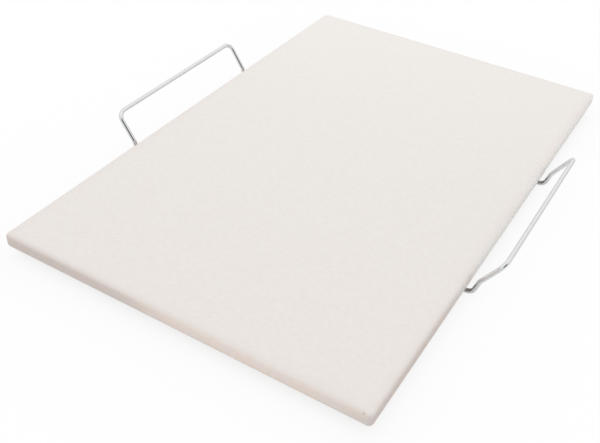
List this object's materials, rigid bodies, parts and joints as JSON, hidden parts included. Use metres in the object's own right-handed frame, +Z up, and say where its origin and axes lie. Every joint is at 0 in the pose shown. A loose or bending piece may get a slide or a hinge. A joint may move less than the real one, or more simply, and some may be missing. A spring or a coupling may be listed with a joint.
{
  "type": "pizza stone",
  "caption": "Rectangular pale ceramic baking slab lying loose on a chromed wire rack whose bent-up ends are carrying handles along the slab's long sides.",
  "frame": {"origin": "on the table under the middle of the rack", "axes": "+Z up, X from handle to handle, Y along the handles and the stone's long sides"},
  "size_m": [0.29, 0.38, 0.032],
  "materials": {
    "stone": "matt unglazed fired cordierite, warm off-white",
    "chromed_wire": "bright chrome plating on round steel wire"
  },
  "bodies": {
    "rack": {"handle_loop": "chromed_wire", "cross_wire_left": "chromed_wire", "cross_wire_right": "chromed_wire", "spot_welds": "chromed_wire"},
    "stone": {"pizza_stone": "stone"}
  },
  "joints": [
    {"name": "stone_lift", "type": "slide", "parent": "rack", "child": "stone", "axis": [0, 0, 1], "range_m": [0, 0.06]}
  ]
}
